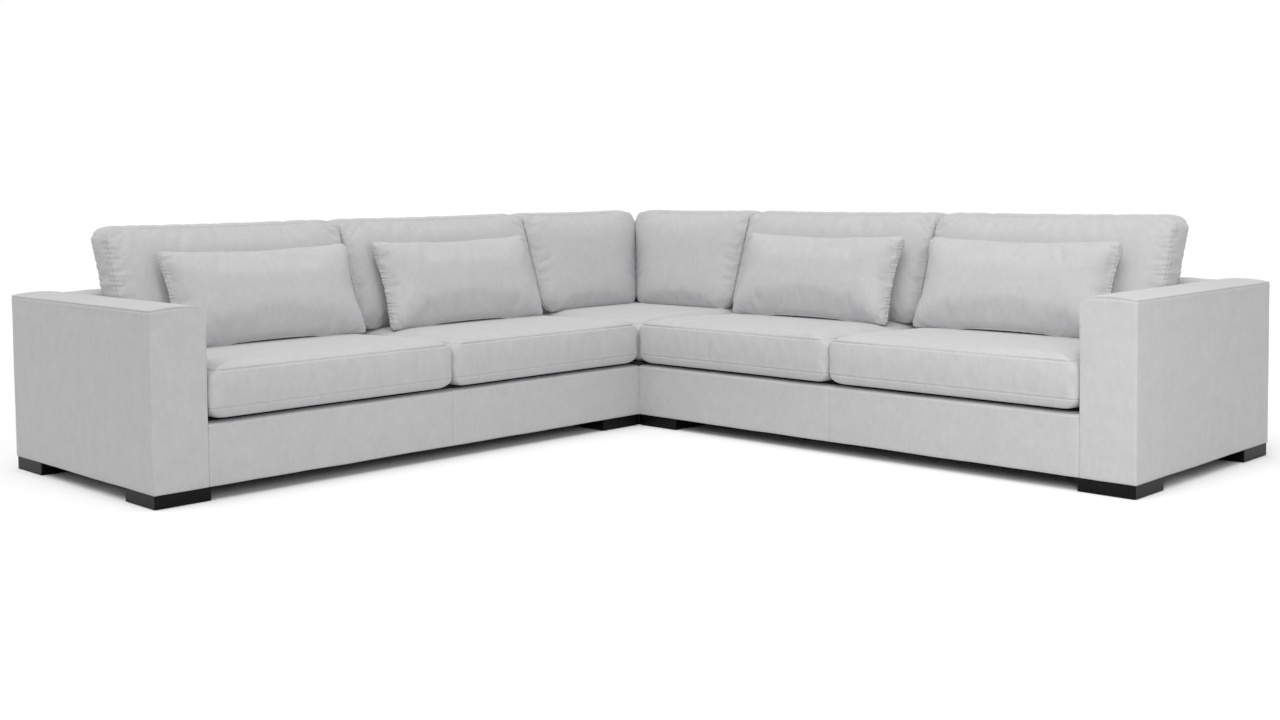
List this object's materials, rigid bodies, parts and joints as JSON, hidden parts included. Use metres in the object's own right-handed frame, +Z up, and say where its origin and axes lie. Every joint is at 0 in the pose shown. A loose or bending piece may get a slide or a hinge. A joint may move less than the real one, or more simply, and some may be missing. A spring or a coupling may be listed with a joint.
{
  "type": "corner sofa",
  "caption": "Upholstered L-shaped corner sofa with low box arms, square block feet, loose seat and back cushions and lumbar pillows, in plain light grey velour.",
  "frame": {"origin": "on the floor, below the middle of the square that the sofa covers", "axes": "+Z up; the left wing runs along -X with its front facing -Y, the right wing along -Y with its front facing -X, and the corner lies towards +X +Y"},
  "size_m": [3.155, 3.155, 0.855],
  "materials": {
    "cushion_velour": "light grey short-pile velour, matt with a soft nap",
    "frame_velour": "the same light grey velour, pulled over wadding",
    "seat_foam": "cream cut polyurethane foam",
    "fibre_filling": "white fibre filling in a lining",
    "frame_timber": "sawn softwood rails and boards",
    "elastic_webbing": "black elastic webbing",
    "deck_cloth": "grey deck cloth over felt",
    "dust_cloth": "black non-woven cloth",
    "foot_lacquer": "black satin lacquer on wood",
    "glide_felt": "dark grey felt",
    "bolt_steel": "bright zinc-plated steel",
    "plate_steel": "black coated steel plate"
  },
  "bodies": {
    "sofa_frame": {"corner_back_frame": "frame_timber", "corner_base_frame": "frame_timber", "corner_deck_pad": "deck_cloth", "corner_dust_cover": "dust_cloth", "corner_left_back_cover": "frame_velour", "corner_right_back_cover": "frame_velour", "corner_seat_webbing": "elastic_webbing", "feet": "foot_lacquer", "foot_bolts": "bolt_steel", "foot_glides": "glide_felt", "frame_bolts": "bolt_steel", "joining_plates": "plate_steel", "left_arm_cover": "frame_velour", "left_arm_frame": "frame_timber", "left_back_cover": "frame_velour", "left_back_frame": "frame_timber", "left_base_frame": "frame_timber", "left_base_front": "frame_velour", "left_deck_pad": "deck_cloth", "left_dust_cover": "dust_cloth", "left_seat_webbing": "elastic_webbing", "right_arm_cover": "frame_velour", "right_arm_frame": "frame_timber", "right_back_cover": "frame_velour", "right_back_frame": "frame_timber", "right_base_frame": "frame_timber", "right_base_front": "frame_velour", "right_deck_pad": "deck_cloth", "right_dust_cover": "dust_cloth", "right_seat_webbing": "elastic_webbing"},
    "seat_left_outer": {"seat_cover_left_outer": "cushion_velour", "seat_foam_left_outer": "seat_foam"},
    "seat_left_inner": {"seat_cover_left_inner": "cushion_velour", "seat_foam_left_inner": "seat_foam"},
    "seat_right_outer": {"seat_cover_right_outer": "cushion_velour", "seat_foam_right_outer": "seat_foam"},
    "seat_right_inner": {"seat_cover_right_inner": "cushion_velour", "seat_foam_right_inner": "seat_foam"},
    "seat_corner": {"seat_cover_corner": "cushion_velour", "seat_foam_corner": "seat_foam"},
    "back_cushion_left_outer": {"back_cushion_cover_left_outer": "cushion_velour", "back_cushion_filling_left_outer": "fibre_filling"},
    "back_cushion_left_inner": {"back_cushion_cover_left_inner": "cushion_velour", "back_cushion_filling_left_inner": "fibre_filling"},
    "back_cushion_right_outer": {"back_cushion_cover_right_outer": "cushion_velour", "back_cushion_filling_right_outer": "fibre_filling"},
    "back_cushion_right_inner": {"back_cushion_cover_right_inner": "cushion_velour", "back_cushion_filling_right_inner": "fibre_filling"},
    "back_cushion_left_corner": {"back_cushion_cover_left_corner": "cushion_velour", "back_cushion_filling_left_corner": "fibre_filling"},
    "back_cushion_right_corner": {"back_cushion_cover_right_corner": "cushion_velour", "back_cushion_filling_right_corner": "fibre_filling"},
    "pillow_left_outer": {"pillow_cover_left_outer": "cushion_velour", "pillow_filling_left_outer": "fibre_filling"},
    "pillow_left_inner": {"pillow_cover_left_inner": "cushion_velour", "pillow_filling_left_inner": "fibre_filling"},
    "pillow_right_outer": {"pillow_cover_right_outer": "cushion_velour", "pillow_filling_right_outer": "fibre_filling"},
    "pillow_right_inner": {"pillow_cover_right_inner": "cushion_velour", "pillow_filling_right_inner": "fibre_filling"}
  },
  "joints": [
    {"name": "lift_seat_left_outer", "type": "slide", "parent": "sofa_frame", "child": "seat_left_outer", "axis": [0, 0, 1], "range_m": [0, 0.4]},
    {"name": "lift_seat_left_inner", "type": "slide", "parent": "sofa_frame", "child": "seat_left_inner", "axis": [0, 0, 1], "range_m": [0, 0.4]},
    {"name": "lift_seat_right_outer", "type": "slide", "parent": "sofa_frame", "child": "seat_right_outer", "axis": [0, 0, 1], "range_m": [0, 0.4]},
    {"name": "lift_seat_right_inner", "type": "slide", "parent": "sofa_frame", "child": "seat_right_inner", "axis": [0, 0, 1], "range_m": [0, 0.4]},
    {"name": "lift_seat_corner", "type": "slide", "parent": "sofa_frame", "child": "seat_corner", "axis": [0, 0, 1], "range_m": [0, 0.4]},
    {"name": "lift_back_cushion_left_outer", "type": "slide", "parent": "seat_left_outer", "child": "back_cushion_left_outer", "axis": [0, 0.3256, 0.9455], "range_m": [0, 0.3]},
    {"name": "lift_back_cushion_left_inner", "type": "slide", "parent": "seat_left_inner", "child": "back_cushion_left_inner", "axis": [0, 0.3256, 0.9455], "range_m": [0, 0.3]},
    {"name": "lift_back_cushion_right_outer", "type": "slide", "parent": "seat_right_outer", "child": "back_cushion_right_outer", "axis": [0.3256, 0, 0.9455], "range_m": [0, 0.3]},
    {"name": "lift_back_cushion_right_inner", "type": "slide", "parent": "seat_right_inner", "child": "back_cushion_right_inner", "axis": [0.3256, 0, 0.9455], "range_m": [0, 0.3]},
    {"name": "lift_back_cushion_left_corner", "type": "slide", "parent": "seat_corner", "child": "back_cushion_left_corner", "axis": [0, 0.3256, 0.9455], "range_m": [0, 0.3]},
    {"name": "lift_back_cushion_right_corner", "type": "slide", "parent": "seat_corner", "child": "back_cushion_right_corner", "axis": [0.3256, 0, 0.9455], "range_m": [0, 0.3]},
    {"name": "lift_pillow_left_outer", "type": "slide", "parent": "back_cushion_left_outer", "child": "pillow_left_outer", "axis": [0, -0.7071, 0.7071], "range_m": [0, 0.6]},
    {"name": "lift_pillow_left_inner", "type": "slide", "parent": "back_cushion_left_inner", "child": "pillow_left_inner", "axis": [0, -0.7071, 0.7071], "range_m": [0, 0.6]},
    {"name": "lift_pillow_right_outer", "type": "slide", "parent": "back_cushion_right_outer", "child": "pillow_right_outer", "axis": [-0.7071, 0, 0.7071], "range_m": [0, 0.6]},
    {"name": "lift_pillow_right_inner", "type": "slide", "parent": "back_cushion_right_inner", "child": "pillow_right_inner", "axis": [-0.7071, 0, 0.7071], "range_m": [0, 0.6]}
  ]
}
